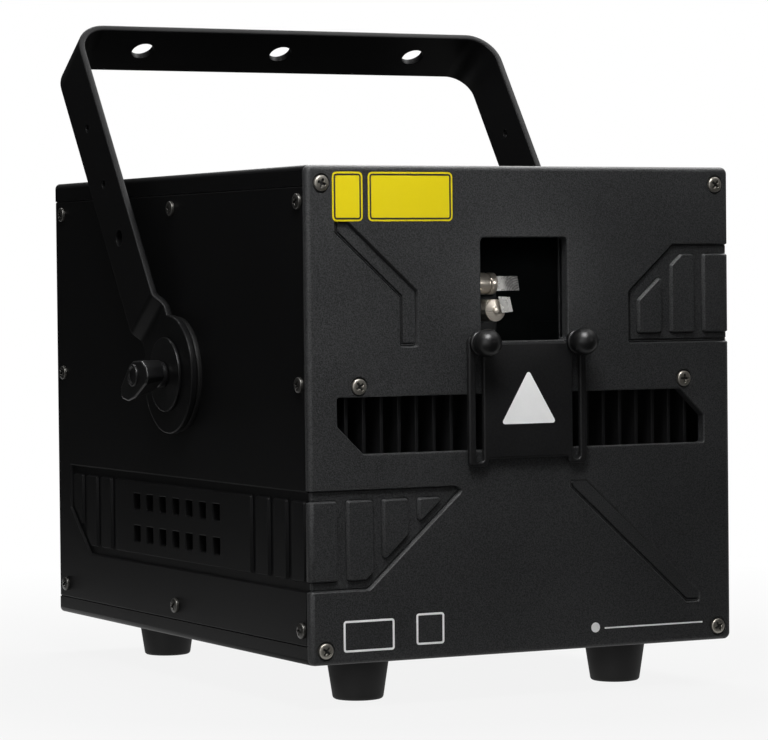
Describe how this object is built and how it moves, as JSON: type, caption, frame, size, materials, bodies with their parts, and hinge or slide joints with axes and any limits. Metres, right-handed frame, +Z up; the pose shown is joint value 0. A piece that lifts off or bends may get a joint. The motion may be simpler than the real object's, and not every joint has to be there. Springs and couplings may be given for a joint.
{
  "type": "laser show projector",
  "caption": "Black metal laser show projector with a sliding aperture shutter, a front vent, ribbed side vents, rubber feet and a tilting yoke with T-handled clamps.",
  "frame": {"origin": "on the floor under the middle of the bounding box", "axes": "+Z up, the front with the aperture faces -Y, +X to the viewer's right"},
  "size_m": [0.304, 0.355, 0.3618],
  "materials": {
    "case_paint": "fine textured black powder coat",
    "shutter_paint": "fine textured black powder coat",
    "yoke_paint": "satin black powder coat",
    "handle_plastic": "moulded black plastic",
    "knob_plastic": "smooth black plastic ball",
    "foot_rubber": "black rubber",
    "screw_steel": "plated steel",
    "washer_steel": "dark plated steel",
    "slip_nylon": "black nylon",
    "window_glass": "clear coated window",
    "black_anodised": "black anodised",
    "bare_aluminium": "milled",
    "laser_housing": "bead blasted",
    "motor_steel": "turned steel",
    "mirror_coating": "coated mirror",
    "supply_case": "plain sheet",
    "circuit_board": "solder mask",
    "spacer_brass": "plain turned",
    "fan_plastic": "black moulded",
    "guard_steel": "bright plated",
    "socket_plastic": "black moulded",
    "socket_metal": "nickel plated",
    "display_glass": "dark display window",
    "button_plastic": "moulded"
  },
  "bodies": {
    "case": {"front_panel": "case_paint", "side_panel_left": "case_paint", "side_panel_right": "case_paint", "top_cover": "case_paint", "base_tray": "case_paint", "rear_panel": "case_paint", "rubber_feet": "foot_rubber", "front_screws": "screw_steel", "side_screws": "screw_steel", "rail_screws": "screw_steel", "rear_screws": "screw_steel", "fan_screws": "screw_steel", "foot_fasteners": "screw_steel", "shutter_washers": "washer_steel", "clamp_washers": "washer_steel", "pivot_blocks": "washer_steel", "yoke_slip_washers": "slip_nylon", "aperture_glass": "window_glass", "glass_retainer": "black_anodised", "vent_fins": "black_anodised", "scanner_block": "black_anodised", "frame_rails": "bare_aluminium", "optical_bench": "bare_aluminium", "bench_posts": "bare_aluminium", "mirror_mounts": "bare_aluminium", "laser_module_red": "laser_housing", "laser_module_green": "laser_housing", "laser_module_blue": "laser_housing", "scanner_motor_upper": "motor_steel", "scanner_motor_lower": "motor_steel", "combiner_mirrors": "mirror_coating", "power_supply": "supply_case", "scanner_driver_board": "circuit_board", "laser_driver_board": "circuit_board", "control_board": "circuit_board", "board_spacers": "spacer_brass", "fan_frames": "fan_plastic", "fan_guards": "guard_steel", "power_inlet": "socket_plastic", "data_sockets": "socket_plastic", "scan_signal_socket": "socket_metal", "key_switch": "socket_metal", "display": "display_glass"},
    "shutter": {"aperture_shutter": "shutter_paint"},
    "knob_left": {"shutter_knob_left": "knob_plastic"},
    "knob_right": {"shutter_knob_right": "knob_plastic"},
    "yoke_body": {"yoke": "yoke_paint"},
    "handle_left": {"clamp_handle_left": "handle_plastic"},
    "handle_right": {"clamp_handle_right": "handle_plastic"},
    "upper_scan_mirror": {"scan_mirror_upper": "mirror_coating"},
    "lower_scan_mirror": {"scan_mirror_lower": "mirror_coating"},
    "left_fan": {"fan_rotor_left": "fan_plastic"},
    "right_fan": {"fan_rotor_right": "fan_plastic"},
    "rocker": {"power_rocker": "socket_plastic"},
    "barrel": {"key_barrel": "socket_metal"},
    "button_up": {"menu_button_up": "button_plastic"},
    "button_down": {"menu_button_down": "button_plastic"},
    "button_enter": {"menu_button_enter": "button_plastic"},
    "button_back": {"menu_button_back": "button_plastic"}
  },
  "joints": [
    {"name": "yoke_tilt", "type": "hinge", "parent": "case", "child": "yoke_body", "pos_m": [0, 0.0009, 0.1657], "axis": [1, 0, 0], "range_deg": [-69.6, 140.4]},
    {"name": "shutter_slide", "type": "slide", "parent": "case", "child": "shutter", "axis": [0, 0, 1], "range_m": [0, 0.056]},
    {"name": "knob_left_turn", "type": "hinge", "parent": "case", "child": "knob_left", "pos_m": [-0.0284, -0.1585, 0.1828], "axis": [0, 1, 0], "range_deg": [0, 360]},
    {"name": "knob_right_turn", "type": "hinge", "parent": "case", "child": "knob_right", "pos_m": [0.0284, -0.1585, 0.1828], "axis": [0, 1, 0], "range_deg": [0, 360]},
    {"name": "handle_left_turn", "type": "hinge", "parent": "case", "child": "handle_left", "pos_m": [0, 0.0009, 0.1657], "axis": [1, 0, 0], "range_deg": [0, 360]},
    {"name": "handle_right_turn", "type": "hinge", "parent": "case", "child": "handle_right", "pos_m": [0, 0.0009, 0.1657], "axis": [1, 0, 0], "range_deg": [-360, 0]},
    {"name": "upper_scan", "type": "hinge", "parent": "case", "child": "upper_scan_mirror", "pos_m": [-0.02, -0.1325, 0.217], "axis": [1, 0, 0], "range_deg": [-20, 20]},
    {"name": "lower_scan", "type": "hinge", "parent": "case", "child": "lower_scan_mirror", "pos_m": [-0.008, -0.1185, 0.199], "axis": [0, 1, 0], "range_deg": [-20, 20]},
    {"name": "left_fan_spin", "type": "hinge", "parent": "case", "child": "left_fan", "pos_m": [-0.055, 0.15, 0.093], "axis": [0, 1, 0], "continuous": true},
    {"name": "right_fan_spin", "type": "hinge", "parent": "case", "child": "right_fan", "pos_m": [0.055, 0.15, 0.093], "axis": [0, 1, 0], "continuous": true},
    {"name": "power_rock", "type": "hinge", "parent": "case", "child": "rocker", "pos_m": [-0.051, 0.168, 0.163], "axis": [1, 0, 0], "range_deg": [-18, 0]},
    {"name": "key_turn", "type": "hinge", "parent": "case", "child": "barrel", "pos_m": [0.004, 0.1705, 0.165], "axis": [0, 1, 0], "range_deg": [0, 90]},
    {"name": "button_up_press", "type": "slide", "parent": "case", "child": "button_up", "axis": [0, -1, 0], "range_m": [0, 0.001], "stiffness_N_per_m": 400},
    {"name": "button_down_press", "type": "slide", "parent": "case", "child": "button_down", "axis": [0, -1, 0], "range_m": [0, 0.001], "stiffness_N_per_m": 400},
    {"name": "button_enter_press", "type": "slide", "parent": "case", "child": "button_enter", "axis": [0, -1, 0], "range_m": [0, 0.001], "stiffness_N_per_m": 400},
    {"name": "button_back_press", "type": "slide", "parent": "case", "child": "button_back", "axis": [0, -1, 0], "range_m": [0, 0.001], "stiffness_N_per_m": 400}
  ]
}
